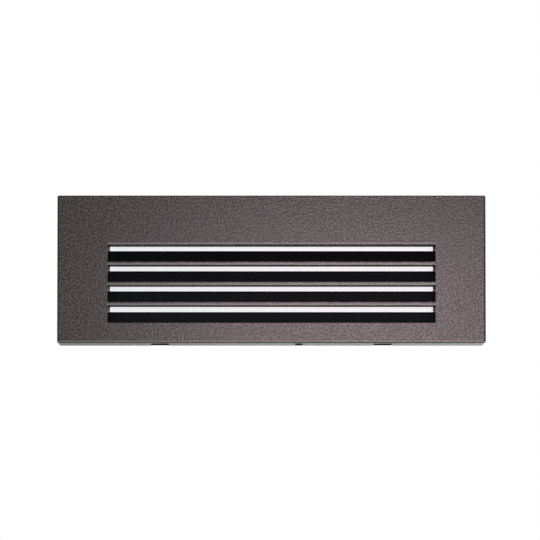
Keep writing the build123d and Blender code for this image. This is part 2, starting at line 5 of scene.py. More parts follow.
import bpy
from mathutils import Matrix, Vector


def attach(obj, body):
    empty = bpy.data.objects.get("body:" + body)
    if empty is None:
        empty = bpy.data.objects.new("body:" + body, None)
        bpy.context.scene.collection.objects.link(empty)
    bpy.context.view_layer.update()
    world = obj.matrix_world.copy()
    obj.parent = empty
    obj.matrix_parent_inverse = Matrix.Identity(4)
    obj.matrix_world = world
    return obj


bl_info = {
    "name": "Step light looks",
    "version": (1, 0, 0),
    "blender": (4, 5, 0),
    "location": "3D View > Sidebar > Step Light",
    "description": "Finishes for a recessed louvred step light, with a camera, soft lights and a floor",
    "category": "Material",
}

PER_M = 1000.0  # millimetres in a metre
METAL = 1.0

# Refraction indices of clear coats and glass, epoxy resin, and the moulded plastics.
GLASS_IOR = 1.5
COAT_IOR = 1.5
EPOXY_IOR = 1.55
SILICONE_IOR = 1.42
NYLON_IOR = 1.53
PVC_IOR = 1.53
POLYCARBONATE_IOR = 1.58

# Most values of a fine noise pattern lie between the first two, and those of a soft one between the others.
GRAIN_LOW, GRAIN_HIGH = 0.3, 0.7
CLOUD_LOW, CLOUD_HIGH = 0.35, 0.65

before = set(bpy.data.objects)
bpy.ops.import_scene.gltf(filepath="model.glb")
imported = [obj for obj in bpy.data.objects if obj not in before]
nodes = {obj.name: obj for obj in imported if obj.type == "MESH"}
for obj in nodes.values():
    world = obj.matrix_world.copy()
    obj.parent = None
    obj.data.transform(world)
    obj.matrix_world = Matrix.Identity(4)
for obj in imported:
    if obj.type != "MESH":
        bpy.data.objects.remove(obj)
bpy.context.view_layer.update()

# The plate, in metres. First half the opening's width, and the painted highlight lines along its lip and
# bars: the height of one, their spacing, half the height of a line's bright core and of its whole, and the
# field they lie in.
OPENING_HALF = 89.9 / PER_M
LINE_HEIGHT = 2.75 / PER_M
LINE_PITCH = 11.4 / PER_M
LINE_CORE = 0.35 / PER_M
LINE_FADE = 0.85 / PER_M
LINES_TOP = 15.0 / PER_M
LINES_FOOT = -22.0 / PER_M

# Where the plate's front edges round over below, above and at the ends, and where its front layer and its
# face proper begin in depth. These bound a painted highlight along the lower front edge and painted shade
# along the top and end edges.
FOOT_HEIGHT = -40.3 / PER_M
HEAD_HEIGHT = 40.75 / PER_M
END_REACH = 116.45 / PER_M
FRONT_DEPTH = -9.0 / PER_M
FACE_DEPTH = -9.38 / PER_M

# The painted shade line along the front of the rim's underside, and how dark the painted shade makes it and
# the outer edges.
UNDERSIDE = -41.05 / PER_M
LINE_BACK = -7.6 / PER_M
CREASE_SHADE = 0.45
EDGE_SHADE = 0.5

# The lock hole's axis, its radius with a hair to spare, and a height above all of it, for the painted shade
# that blackens the hole's bore.
LOCK_PLACE = (15.0 / PER_M, -3.9 / PER_M, 0.0)
LOCK_BORE = 2.42 / PER_M
LOCK_TOP = -35.0 / PER_M

# The open conduit hub, in metres: its bore's radius, its outer face along X, its depth and height, and the
# thread's crests: how high one stands, how far in the first is, and the sides of a ring and of its section.
HUB_BORE = 9.15 / PER_M
HUB_FACE = 111.0 / PER_M
HUB_PLACE = (47.0 / PER_M, 5.0 / PER_M)
CREST_HEIGHT = 0.75 / PER_M
CREST_INSET = 1.6 / PER_M
RING_SIDES = 64
CREST_SIDES = 3

# The stage, in metres: the point the camera looks at, its sensor and far limit, and the floor.
VIEW_CENTRE = (-0.0008, 0.0, 0.0014)
SENSOR_MM = 36.0
VIEW_END = 100.0
FLOOR_HALF = 4
FLOOR_HEIGHT = -2.4
FLOOR_WHITE = 0.9

# Soft boxes: name, place, the point each faces, width, height, watts and colour. The key stands close to the
# plate, right of its middle, so the sheen falls off to the left.
SOFT_BOXES = (
    ("key_soft_box", (0.055, -0.5, 0.06), (0.03, 0.0, -0.01), 0.22, 0.12, 1.9, "FFFAFC"),
    ("low_soft_box", (0.15, -1.2, -0.22), (0.0, 0.0, 0.0), 0.5, 0.3, 3.2, "FFFFFF"),
    ("under_soft_box", (0.9, 2.2, -0.55), (0.0, 0.0, -0.04), 1.4, 0.6, 9.0, "EDF0FF"),
    ("top_soft_box", (0.0, 1.2, 1.8), (0.0, 0.0, 0.0), 1.2, 1.0, 9.0, "FFFFFF"),
    ("rear_soft_box", (0.6, 2.2, 0.3), (0.0, 0.05, 0.0), 1.4, 1.2, 11.0, "FFFFFF"),
)


# ---- Shared helpers ----
def linear(hex_colour):
    """An sRGB hex colour such as "8C8784" as linear RGBA."""
    parts = [int(hex_colour[i : i + 2], 16) / 255 for i in (0, 2, 4)]
    return (*[c / 12.92 if c <= 0.04045 else ((c + 0.055) / 1.055) ** 2.4 for c in parts], 1.0)


def add(tree, kind, settings=None, inputs=None):
    """Adds a node with its settings, and its inputs as numbers or as the sockets that feed them."""
    node = tree.nodes.new(kind)
    for name, value in (settings or {}).items():
        setattr(node, name, value)
    for key, value in (inputs or {}).items():
        if isinstance(value, bpy.types.NodeSocket):
            tree.links.new(value, node.inputs[key])
        else:
            node.inputs[key].default_value = value
    return node


def blank(name):
    """A new material with no nodes yet, and that material's tree."""
    material = bpy.data.materials.new(name)
    material.use_nodes = True
    material.node_tree.nodes.clear()
    return material, material.node_tree


def dress(names, material):
    """Puts a material on every slot of the named CAD nodes."""
    for name in names:
        slots = nodes[name].material_slots
        if not slots:
            nodes[name].data.materials.append(material)
        for slot in slots:
            slot.material = material


# ---- Finishes that several pieces share ----
def moulded(name, main, shade, grain_mm, gloss, ior):
    """Moulded plastic: an even colour, a fine spark-eroded grain and a soft sheen."""
    material, tree = blank(name)
    where = add(tree, "ShaderNodeTexCoord").outputs["Object"]
    grain = add(tree, "ShaderNodeTexNoise", inputs={
        "Vector": where, "Scale": PER_M / grain_mm, "Detail": 4.0,
    }).outputs["Fac"]
    cloud = add(tree, "ShaderNodeTexNoise", inputs={
        "Vector": where, "Scale": PER_M / 14.0, "Detail": 3.0,
    }).outputs["Fac"]
    tone = add(tree, "ShaderNodeMapRange", inputs={
        "Value": cloud, "From Min": CLOUD_LOW, "From Max": CLOUD_HIGH,
    })
    colour = add(tree, "ShaderNodeMix", {"data_type": "RGBA"}, {
        "Factor": tone.outputs[0], 6: linear(main), 7: linear(shade),
    })
    rough = add(tree, "ShaderNodeMapRange", inputs={
        "Value": grain, "From Min": GRAIN_LOW, "From Max": GRAIN_HIGH,
        "To Min": gloss - 0.06, "To Max": gloss + 0.08,
    })
    relief = add(tree, "ShaderNodeBump", inputs={"Height": grain, "Distance": 0.03 / PER_M, "Strength": 0.5})
    shader = add(tree, "ShaderNodeBsdfPrincipled", inputs={
        "Base Color": colour.outputs[2], "Roughness": rough.outputs[0], "IOR": ior,
        "Normal": relief.outputs[0],
    })
    add(tree, "ShaderNodeOutputMaterial", inputs={"Surface": shader.outputs[0]})
    return material


def drawn_metal(name, main, shade, stretch, line_mm, gloss):
    """Bare metal with the fine lines that rolling, drawing or turning leaves on it."""
    material, tree = blank(name)
    where = add(tree, "ShaderNodeTexCoord").outputs["Object"]
    pulled = add(tree, "ShaderNodeMapping", inputs={"Vector": where, "Scale": stretch}).outputs[0]
    lines = add(tree, "ShaderNodeTexNoise", inputs={
        "Vector": pulled, "Scale": PER_M / line_mm, "Detail": 3.0,
    }).outputs["Fac"]
    cloud = add(tree, "ShaderNodeTexNoise", inputs={
        "Vector": where, "Scale": PER_M / 9.0, "Detail": 3.0,
    }).outputs["Fac"]
    tone = add(tree, "ShaderNodeMapRange", inputs={
        "Value": cloud, "From Min": GRAIN_LOW, "From Max": GRAIN_HIGH,
    })
    colour = add(tree, "ShaderNodeMix", {"data_type": "RGBA"}, {
        "Factor": tone.outputs[0], 6: linear(main), 7: linear(shade),
    })
    rough = add(tree, "ShaderNodeMapRange", inputs={
        "Value": lines, "From Min": GRAIN_LOW, "From Max": GRAIN_HIGH,
        "To Min": gloss - 0.07, "To Max": gloss + 0.09,
    })
    relief = add(tree, "ShaderNodeBump", inputs={"Height": lines, "Distance": 0.02 / PER_M, "Strength": 0.6})
    shader = add(tree, "ShaderNodeBsdfPrincipled", inputs={
        "Base Color": colour.outputs[2], "Metallic": METAL, "Roughness": rough.outputs[0],
        "Normal": relief.outputs[0],
    })
    add(tree, "ShaderNodeOutputMaterial", inputs={"Surface": shader.outputs[0]})
    return material


def insulation(name, main, shade):
    """Extruded PVC wire insulation: smooth and a little glossy, with faint handling marks."""
    material, tree = blank(name)
    where = add(tree, "ShaderNodeTexCoord").outputs["Object"]
    cloud = add(tree, "ShaderNodeTexNoise", inputs={
        "Vector": where, "Scale": PER_M / 6.0, "Detail": 2.0,
    }).outputs["Fac"]
    marks = add(tree, "ShaderNodeTexNoise", inputs={
        "Vector": where, "Scale": PER_M / 0.5, "Detail": 2.0,
    }).outputs["Fac"]
    tone = add(tree, "ShaderNodeMapRange", inputs={
        "Value": cloud, "From Min": CLOUD_LOW, "From Max": CLOUD_HIGH,
    })
    colour = add(tree, "ShaderNodeMix", {"data_type": "RGBA"}, {
        "Factor": tone.outputs[0], 6: linear(main), 7: linear(shade),
    })
    rough = add(tree, "ShaderNodeMapRange", inputs={
        "Value": marks, "From Min": GRAIN_LOW, "From Max": GRAIN_HIGH, "To Min": 0.34, "To Max": 0.46,
    })
    relief = add(tree, "ShaderNodeBump", inputs={"Height": marks, "Distance": 0.01 / PER_M, "Strength": 0.4})
    shader = add(tree, "ShaderNodeBsdfPrincipled", inputs={
        "Base Color": colour.outputs[2], "Roughness": rough.outputs[0], "IOR": PVC_IOR,
        "Normal": relief.outputs[0],
    })
    add(tree, "ShaderNodeOutputMaterial", inputs={"Surface": shader.outputs[0]})
    return material


# ---- Sizes and colours that a user would change ----
class StepLightPlate(bpy.types.PropertyGroup):
    main: bpy.props.FloatVectorProperty(
        name="Coat", description="Main colour of the plate's powder coat", subtype="COLOR", size=4,
        min=0, max=1, default=linear("131111"),
    )
    fleck: bpy.props.FloatVectorProperty(
        name="Fleck", description="Colour of the coat's lighter grains", subtype="COLOR", size=4,
        min=0, max=1, default=linear("484545"),
    )
    olive: bpy.props.FloatVectorProperty(
        name="Olive", description="Colour of the coat's greener patches", subtype="COLOR", size=4,
        min=0, max=1, default=linear("181915"),
    )
    # Colour of the painted highlight along the lower edges of the lip, the bars and the plate's front.
    thin: bpy.props.FloatVectorProperty(
        name="Thin coat", description="Colour of the coat where it pulls thin along an edge", subtype="COLOR",
        size=4, min=0, max=1, default=linear("88837F"),
    )
    flake: bpy.props.FloatVectorProperty(
        name="Flake", description="Tint that the coat's bronze flakes give its sheen", subtype="COLOR",
        size=4, min=0, max=1, default=linear("FFEAEF"),
    )
    # Strength of that painted highlight.
    edge: bpy.props.FloatProperty(
        name="Edge wear", description="How thin the coat is along the bars' lower edges", default=0.42, min=0,
        max=1,
    )
    grain: bpy.props.FloatProperty(
        name="Grain", description="Size of one grain of the textured coat, in millimetres",
        default=1.05, min=0.1,
    )
    relief: bpy.props.FloatProperty(
        name="Relief", description="Height of the coat's texture, in millimetres", default=0.12, min=0,
    )
    gloss: bpy.props.FloatProperty(
        name="Roughness", description="Mean roughness of the coat", default=0.28, min=0, max=1,
    )
    sheen: bpy.props.FloatProperty(
        name="Sheen", description="How strongly the coat shines, where 0.5 is clear lacquer", default=0.16,
        min=0, max=1,
    )


class StepLightLouvers(bpy.types.PropertyGroup):
    main: bpy.props.FloatVectorProperty(
        name="Coat", description="Colour of the blades' black coat", subtype="COLOR", size=4,
        min=0, max=1, default=linear("0A0A0D"),
    )
    fleck: bpy.props.FloatVectorProperty(
        name="Fleck", description="Colour of the black coat's lighter grains", subtype="COLOR", size=4,
        min=0, max=1, default=linear("0E0E12"),
    )
    grain: bpy.props.FloatProperty(
        name="Grain", description="Size of one grain of the black coat, in millimetres", default=0.7, min=0.1,
    )


class StepLightLens(bpy.types.PropertyGroup):
    # The glass is painted darker and cooler towards its left end, as a painted falloff of light.
    cool: bpy.props.FloatVectorProperty(
        name="Cool glass", description="Colour of the frosted glass at its left end", subtype="COLOR",
        size=4, min=0, max=1, default=linear("EFF1F6"),
    )
    warm: bpy.props.FloatVectorProperty(
        name="Warm glass", description="Colour of the frosted glass at its right end", subtype="COLOR",
        size=4, min=0, max=1, default=linear("FBF6FA"),
    )
    # The glow is painted light that keeps the recessed glass an even white.
    glow: bpy.props.FloatProperty(
        name="Glow", description="Strength of the light that comes through the glass", default=0.78, min=0,
    )


class StepLightThreads(bpy.types.PropertyGroup):
    pitch: bpy.props.FloatProperty(
        name="Pitch", description="Distance between two crests of the pipe thread", default=1.814 / PER_M,
        min=0.0005, unit="LENGTH",
    )
    crests: bpy.props.IntProperty(
        name="Crests", description="Number of thread crests in the open conduit hub", default=6, min=1,
    )


class StepLightStage(bpy.types.PropertyGroup):
    distance: bpy.props.FloatProperty(
        name="Distance", description="Distance of the camera from the plate", default=9.0, min=0.5,
        unit="LENGTH",
    )
    below: bpy.props.FloatProperty(
        name="Below", description="How far below level the camera looks up from", default=math.radians(12.3),
        subtype="ANGLE",
    )
    across: bpy.props.FloatProperty(
        name="Across", description="Width of wall that fills the view", default=0.2964, min=0.05,
        unit="LENGTH",
    )
    room: bpy.props.FloatProperty(
        name="Room light", description="Strength of the even light that comes from all round",
        default=0.12, min=0,
    )


# ---- Pieces ----
class STEPLIGHT_OT_plate(bpy.types.Operator):
    """Gives the faceplate its textured bronze powder coat"""

    bl_idname = "steplight.plate"
    bl_label = "Faceplate"

    def execute(self, context):
        look = context.scene.step_light_plate
        # Polyester powder coat on die-cast aluminium, sprayed and baked. The grains melt into a rough
        # skin: dark bronze with lighter and greener points, and a wide soft sheen towards the light.
        # A real coat's grain is about half as coarse, and is drawn this large so that it shows.
        material, tree = blank("bronze_textured_powder_coat")
        where = add(tree, "ShaderNodeTexCoord").outputs["Object"]
        grain = add(tree, "ShaderNodeTexNoise", inputs={
            "Vector": where, "Scale": PER_M / look.grain, "Detail": 1.0, "Roughness": 0.6,
        })
        speckle = add(tree, "ShaderNodeMapRange", inputs={
            "Value": grain.outputs["Fac"], "From Min": 0.4, "From Max": 0.62,
        })
        channels = add(tree, "ShaderNodeSeparateColor", inputs={"Color": grain.outputs["Color"]})
        cloud = add(tree, "ShaderNodeTexNoise", inputs={
            "Vector": where, "Scale": PER_M / 45.0, "Detail": 2.0,
        })
        greener = add(tree, "ShaderNodeMapRange", inputs={
            "Value": cloud.outputs["Fac"], "From Min": CLOUD_LOW, "From Max": CLOUD_HIGH,
        })
        ground = add(tree, "ShaderNodeMix", {"data_type": "RGBA"}, {
            "Factor": greener.outputs[0], 6: look.main, 7: look.olive,
        })
        mottled = add(tree, "ShaderNodeMix", {"data_type": "RGBA"}, {
            "Factor": speckle.outputs[0], 6: ground.outputs[2], 7: look.fleck,
        })
        rough = add(tree, "ShaderNodeMapRange", inputs={
            "Value": channels.outputs["Blue"], "From Min": GRAIN_LOW, "From Max": GRAIN_HIGH,
            "To Min": look.gloss - 0.1, "To Max": look.gloss + 0.1,
        })
        relief = add(tree, "ShaderNodeBump", inputs={
            "Height": grain.outputs["Fac"], "Distance": look.relief / PER_M, "Strength": 0.8,
        })
        # Painted highlight: a light line along the sharp lower edges of the lip and the bars, standing in for
        # the light those edges catch.
        place = add(tree, "ShaderNodeSeparateXYZ", inputs={"Vector": where}).outputs
        rise = add(tree, "ShaderNodeMath", {"operation": "SUBTRACT"}, {
            0: place["Z"], 1: LINE_HEIGHT - LINE_PITCH / 2,
        })
        turn = add(tree, "ShaderNodeMath", {"operation": "WRAP"}, {0: rise.outputs[0], 1: LINE_PITCH, 2: 0.0})
        off = add(tree, "ShaderNodeMath", {"operation": "SUBTRACT"}, {0: turn.outputs[0], 1: LINE_PITCH / 2})
        gap = add(tree, "ShaderNodeMath", {"operation": "ABSOLUTE"}, {0: off.outputs[0]})
        line = add(tree, "ShaderNodeMapRange", inputs={
            "Value": gap.outputs[0], "From Min": LINE_CORE, "From Max": LINE_FADE,
            "To Min": look.edge, "To Max": 0.0,
        })
        side = add(tree, "ShaderNodeMath", {"operation": "ABSOLUTE"}, {0: place["X"]})
        across = add(tree, "ShaderNodeMath", {"operation": "LESS_THAN"}, {
            0: side.outputs[0], 1: OPENING_HALF,
        })
        up = add(tree, "ShaderNodeMath", {"operation": "LESS_THAN"}, {0: place["Z"], 1: LINES_TOP})
        down = add(tree, "ShaderNodeMath", {"operation": "GREATER_THAN"}, {0: place["Z"], 1: LINES_FOOT})
        front = add(tree, "ShaderNodeMath", {"operation": "LESS_THAN"}, {0: place["Y"], 1: FRONT_DEPTH})
        band = add(tree, "ShaderNodeMath", {"operation": "MULTIPLY"}, {0: up.outputs[0], 1: down.outputs[0]})
        field = add(tree, "ShaderNodeMath", {"operation": "MULTIPLY"}, {
            0: across.outputs[0], 1: front.outputs[0],
        })
        zone = add(tree, "ShaderNodeMath", {"operation": "MULTIPLY"}, {
            0: band.outputs[0], 1: field.outputs[0],
        })
        painted_highlight_lines = add(tree, "ShaderNodeMath", {"operation": "MULTIPLY"}, {
            0: zone.outputs[0], 1: line.outputs[0],
        })
        # The same painted highlight runs along the plate's lower front edge.
        below = add(tree, "ShaderNodeMath", {"operation": "LESS_THAN"}, {0: place["Z"], 1: FOOT_HEIGHT})
        facing = add(tree, "ShaderNodeMath", {"operation": "LESS_THAN"}, {0: place["Y"], 1: FACE_DEPTH})
        low = add(tree, "ShaderNodeMath", {"operation": "MULTIPLY"}, {
            0: below.outputs[0], 1: facing.outputs[0],
        })
        foot = add(tree, "ShaderNodeMath", {"operation": "MULTIPLY_ADD"}, {
            0: low.outputs[0], 1: look.edge, 2: painted_highlight_lines.outputs[0],
        })
        edged = add(tree, "ShaderNodeMix", {"data_type": "RGBA"}, {
            "Factor": foot.outputs[0], 6: mottled.outputs[2], 7: look.thin,
        })
        # Painted shade darkens the top and end edges of the front and a line along the rim's underside, which
        # are made duller too, and paints the lock hole's bore black.
        above = add(tree, "ShaderNodeMath", {"operation": "GREATER_THAN"}, {0: place["Z"], 1: HEAD_HEIGHT})
        beyond = add(tree, "ShaderNodeMath", {"operation": "GREATER_THAN"}, {
            0: side.outputs[0], 1: END_REACH,
        })
        outer = add(tree, "ShaderNodeMath", {"operation": "MAXIMUM"}, {
            0: above.outputs[0], 1: beyond.outputs[0],
        })
        brink = add(tree, "ShaderNodeMath", {"operation": "MULTIPLY"}, {
            0: outer.outputs[0], 1: front.outputs[0],
        })
        rim = add(tree, "ShaderNodeMath", {"operation": "MULTIPLY"}, {0: brink.outputs[0], 1: EDGE_SHADE})
        # Painted shade line along the front of the rim's underside.
        under = add(tree, "ShaderNodeMath", {"operation": "LESS_THAN"}, {0: place["Z"], 1: UNDERSIDE})
        fore = add(tree, "ShaderNodeMath", {"operation": "LESS_THAN"}, {0: place["Y"], 1: LINE_BACK})
        painted_underside_shade = add(tree, "ShaderNodeMath", {"operation": "MULTIPLY"}, {
            0: under.outputs[0], 1: fore.outputs[0],
        })
        painted_edge_shade = add(tree, "ShaderNodeMath", {"operation": "MULTIPLY_ADD"}, {
            0: painted_underside_shade.outputs[0], 1: CREASE_SHADE, 2: rim.outputs[0],
        })
        # Painted shade: the lock hole's bore is coloured black.
        flat = add(tree, "ShaderNodeVectorMath", {"operation": "MULTIPLY"}, {0: where, 1: (1.0, 1.0, 0.0)})
        reach = add(tree, "ShaderNodeVectorMath", {"operation": "DISTANCE"}, {
            0: flat.outputs[0], 1: LOCK_PLACE,
        })
        near = add(tree, "ShaderNodeMath", {"operation": "LESS_THAN"}, {
            0: reach.outputs["Value"], 1: LOCK_BORE,
        })
        deep = add(tree, "ShaderNodeMath", {"operation": "LESS_THAN"}, {0: place["Z"], 1: LOCK_TOP})
        hole = add(tree, "ShaderNodeMath", {"operation": "MULTIPLY"}, {
            0: near.outputs[0], 1: deep.outputs[0],
        })
        dark = add(tree, "ShaderNodeMath", {"operation": "MAXIMUM"}, {0: painted_edge_shade.outputs[0], 1: hole.outputs[0]})
        coat_with_painted_shade = add(tree, "ShaderNodeMix", {"data_type": "RGBA"}, {
            "Factor": dark.outputs[0], 6: edged.outputs[2], 7: linear("020202"),
        })
        dull = add(tree, "ShaderNodeMapRange", inputs={
            "Value": dark.outputs[0], "To Min": rough.outputs[0], "To Max": 0.95,
        })
        shader = add(tree, "ShaderNodeBsdfPrincipled", inputs={
            "Base Color": coat_with_painted_shade.outputs[2], "Roughness": dull.outputs[0], "IOR": COAT_IOR,
            "Specular IOR Level": look.sheen, "Specular Tint": look.flake, "Normal": relief.outputs[0],
        })
        add(tree, "ShaderNodeOutputMaterial", inputs={"Surface": shader.outputs[0]})
        dress(["faceplate"], material)

        # Closed-cell neoprene foam, cut from sheet: dull black with small cells along its cut edges.
        material, tree = blank("black_closed_cell_foam")
        where = add(tree, "ShaderNodeTexCoord").outputs["Object"]
        cells = add(tree, "ShaderNodeTexVoronoi", inputs={"Vector": where, "Scale": PER_M / 0.6})
        tone = add(tree, "ShaderNodeMapRange", inputs={"Value": cells.outputs["Distance"], "To Max": 1.2})
        colour = add(tree, "ShaderNodeMix", {"data_type": "RGBA"}, {
            "Factor": tone.outputs[0], 6: linear("1D1D20"), 7: linear("111113"),
        })
        rough = add(tree, "ShaderNodeMapRange", inputs={
            "Value": cells.outputs["Distance"], "To Min": 0.78, "To Max": 0.95,
        })
        relief = add(tree, "ShaderNodeBump", inputs={
            "Height": cells.outputs["Distance"], "Distance": 0.1 / PER_M, "Strength": 0.6,
        })
        shader = add(tree, "ShaderNodeBsdfPrincipled", inputs={
            "Base Color": colour.outputs[2], "Roughness": rough.outputs[0], "IOR": COAT_IOR,
            "Specular IOR Level": 0.2, "Normal": relief.outputs[0],
        })
        add(tree, "ShaderNodeOutputMaterial", inputs={"Surface": shader.outputs[0]})
        dress(["foam_gasket"], material)
        return {"FINISHED"}


class STEPLIGHT_OT_louvers(bpy.types.Operator):
    """Gives the louver blades and their cheeks a black coat"""

    bl_idname = "steplight.louvers"
    bl_label = "Louvers"

    def execute(self, context):
        look = context.scene.step_light_louvers
        # The blades and cheeks: near black, thin-grained and matt, on steel sheet.
        material, tree = blank("black_matt_powder_coat")
        where = add(tree, "ShaderNodeTexCoord").outputs["Object"]
        grain = add(tree, "ShaderNodeTexNoise", inputs={
            "Vector": where, "Scale": PER_M / look.grain, "Detail": 3.0,
        }).outputs["Fac"]
        tone = add(tree, "ShaderNodeMapRange", inputs={"Value": grain, "From Min": 0.4, "From Max": 0.7})
        coat = add(tree, "ShaderNodeMix", {"data_type": "RGBA"}, {
            "Factor": tone.outputs[0], 6: look.main, 7: look.fleck,
        })
        rough = add(tree, "ShaderNodeMapRange", inputs={
            "Value": grain, "From Min": GRAIN_LOW, "From Max": GRAIN_HIGH, "To Min": 0.5, "To Max": 0.64,
        })
        relief = add(tree, "ShaderNodeBump", inputs={
            "Height": grain, "Distance": 0.03 / PER_M, "Strength": 0.6,
        })
        shader = add(tree, "ShaderNodeBsdfPrincipled", inputs={
            "Base Color": coat.outputs[2], "Roughness": rough.outputs[0], "IOR": COAT_IOR,
            "Specular IOR Level": 0.06, "Normal": relief.outputs[0],
        })
        add(tree, "ShaderNodeOutputMaterial", inputs={"Surface": shader.outputs[0]})
        names = [f"louver_blade_{n}" for n in range(1, 5)] + ["left_louver_cheek", "right_louver_cheek"]
        dress(names, material)
        return {"FINISHED"}


class STEPLIGHT_OT_lens(bpy.types.Operator):
    """Gives the lens its frosted glass, and the frame and gasket round it their finishes"""

    bl_idname = "steplight.lens"
    bl_label = "Lens and module"

    def execute(self, context):
        look = context.scene.step_light_lens
        # Float glass, sand-blasted: a milky white with a fine grain. Its glow is painted light that keeps it
        # an even white, and it is painted darker and cooler towards its left end, as a falloff of light.
        material, tree = blank("frosted_float_glass")
        where = add(tree, "ShaderNodeTexCoord").outputs["Object"]
        along = add(tree, "ShaderNodeSeparateXYZ", inputs={"Vector": where}).outputs["X"]
        share = add(tree, "ShaderNodeMapRange", inputs={"Value": along, "From Min": -0.09, "From Max": 0.03})
        tint = add(tree, "ShaderNodeMix", {"data_type": "RGBA"}, {
            "Factor": share.outputs[0], 6: look.cool, 7: look.warm,
        })
        grain = add(tree, "ShaderNodeTexNoise", inputs={
            "Vector": where, "Scale": PER_M / 0.5, "Detail": 3.0,
        }).outputs["Fac"]
        rough = add(tree, "ShaderNodeMapRange", inputs={
            "Value": grain, "From Min": GRAIN_LOW, "From Max": GRAIN_HIGH, "To Min": 0.4, "To Max": 0.55,
        })
        relief = add(tree, "ShaderNodeBump", inputs={
            "Height": grain, "Distance": 0.02 / PER_M, "Strength": 0.5,
        })
        shader = add(tree, "ShaderNodeBsdfPrincipled", inputs={
            "Base Color": tint.outputs[2], "Roughness": rough.outputs[0], "IOR": GLASS_IOR,
            "Emission Color": tint.outputs[2], "Emission Strength": look.glow, "Normal": relief.outputs[0],
        })
        add(tree, "ShaderNodeOutputMaterial", inputs={"Surface": shader.outputs[0]})
        dress(["lens"], material)
        # Rolled aluminium sheet, left bare: fine lines run along it.
        rolled = drawn_metal("rolled_aluminium_frame", "A6A8AC", "96989D", (0.08, 1, 1), 0.4, 0.42)
        dress(["lens_frame"], rolled)
        # Moulded silicone: soft, matt and slightly clear.
        dress(["lens_gasket"], moulded("moulded_silicone_gasket", "D9D9D7", "CFCFCD", 0.5, 0.6, SILICONE_IOR))
        return {"FINISHED"}


class STEPLIGHT_OT_box(bpy.types.Operator):
    """Gives the cast back box, its hubs, ears and tray their metals"""

    bl_idname = "steplight.box"
    bl_label = "Back box"

    def execute(self, context):
        # Die-cast aluminium as it leaves the mould: dull grey with flow marks and a sandy grain.
        material, tree = blank("bare_die_cast_aluminium")
        where = add(tree, "ShaderNodeTexCoord").outputs["Object"]
        pulled = add(tree, "ShaderNodeMapping", inputs={"Vector": where, "Scale": (0.35, 1, 1)}).outputs[0]
        sand = add(tree, "ShaderNodeTexNoise", inputs={
            "Vector": where, "Scale": PER_M / 0.9, "Detail": 5.0, "Roughness": 0.6,
        }).outputs["Fac"]
        flow = add(tree, "ShaderNodeTexNoise", inputs={
            "Vector": pulled, "Scale": PER_M / 16.0, "Detail": 4.0, "Roughness": 0.6,
        }).outputs["Fac"]
        swept = add(tree, "ShaderNodeMapRange", inputs={"Value": flow, "From Min": 0.35, "From Max": 0.68})
        grey = add(tree, "ShaderNodeMix", {"data_type": "RGBA"}, {
            "Factor": swept.outputs[0], 6: linear("9A9C9F"), 7: linear("85878A"),
        })
        sparkle = add(tree, "ShaderNodeMapRange", inputs={
            "Value": sand, "From Min": 0.35, "From Max": 0.7, "To Max": 0.4,
        })
        colour = add(tree, "ShaderNodeMix", {"data_type": "RGBA"}, {
            "Factor": sparkle.outputs[0], 6: grey.outputs[2], 7: linear("A6A8AA"),
        })
        rough = add(tree, "ShaderNodeMapRange", inputs={
            "Value": sand, "From Min": GRAIN_LOW, "From Max": GRAIN_HIGH, "To Min": 0.46, "To Max": 0.66,
        })
        relief = add(tree, "ShaderNodeBump", inputs={
            "Height": sand, "Distance": 0.09 / PER_M, "Strength": 0.7,
        })
        shader = add(tree, "ShaderNodeBsdfPrincipled", inputs={
            "Base Color": colour.outputs[2], "Metallic": METAL, "Roughness": rough.outputs[0],
            "Normal": relief.outputs[0],
        })
        add(tree, "ShaderNodeOutputMaterial", inputs={"Surface": shader.outputs[0]})
        dress(["back_box"], material)

        # Zinc plate on steel: small bright crystals of slightly different greys.
        material, tree = blank("zinc_plated_steel")
        where = add(tree, "ShaderNodeTexCoord").outputs["Object"]
        crystal = add(tree, "ShaderNodeTexVoronoi", inputs={"Vector": where, "Scale": PER_M / 2.2})
        tone = add(tree, "ShaderNodeSeparateColor", inputs={"Color": crystal.outputs["Color"]}).outputs["Red"]
        share = add(tree, "ShaderNodeMapRange", inputs={"Value": tone, "To Max": 0.5})
        colour = add(tree, "ShaderNodeMix", {"data_type": "RGBA"}, {
            "Factor": share.outputs[0], 6: linear("A6A9AC"), 7: linear("92969A"),
        })
        rough = add(tree, "ShaderNodeMapRange", inputs={"Value": tone, "To Min": 0.3, "To Max": 0.42})
        scratch = add(tree, "ShaderNodeTexNoise", inputs={
            "Vector": where, "Scale": PER_M / 0.5, "Detail": 3.0,
        }).outputs["Fac"]
        relief = add(tree, "ShaderNodeBump", inputs={
            "Height": scratch, "Distance": 0.02 / PER_M, "Strength": 0.5,
        })
        shader = add(tree, "ShaderNodeBsdfPrincipled", inputs={
            "Base Color": colour.outputs[2], "Metallic": METAL, "Roughness": rough.outputs[0],
            "Normal": relief.outputs[0],
        })
        add(tree, "ShaderNodeOutputMaterial", inputs={"Surface": shader.outputs[0]})
        dress([
            "left_conduit_hub", "right_conduit_hub", "conduit_plug",
            "left_mounting_ear", "right_mounting_ear",
        ], material)
        # Rolled aluminium sheet, brighter than the casting, with fine lines along it.
        rolled = drawn_metal("rolled_aluminium_tray", "C4C6C9", "B2B4B8", (0.06, 1, 1), 0.5, 0.36)
        dress(["light_tray"], rolled)
        return {"FINISHED"}


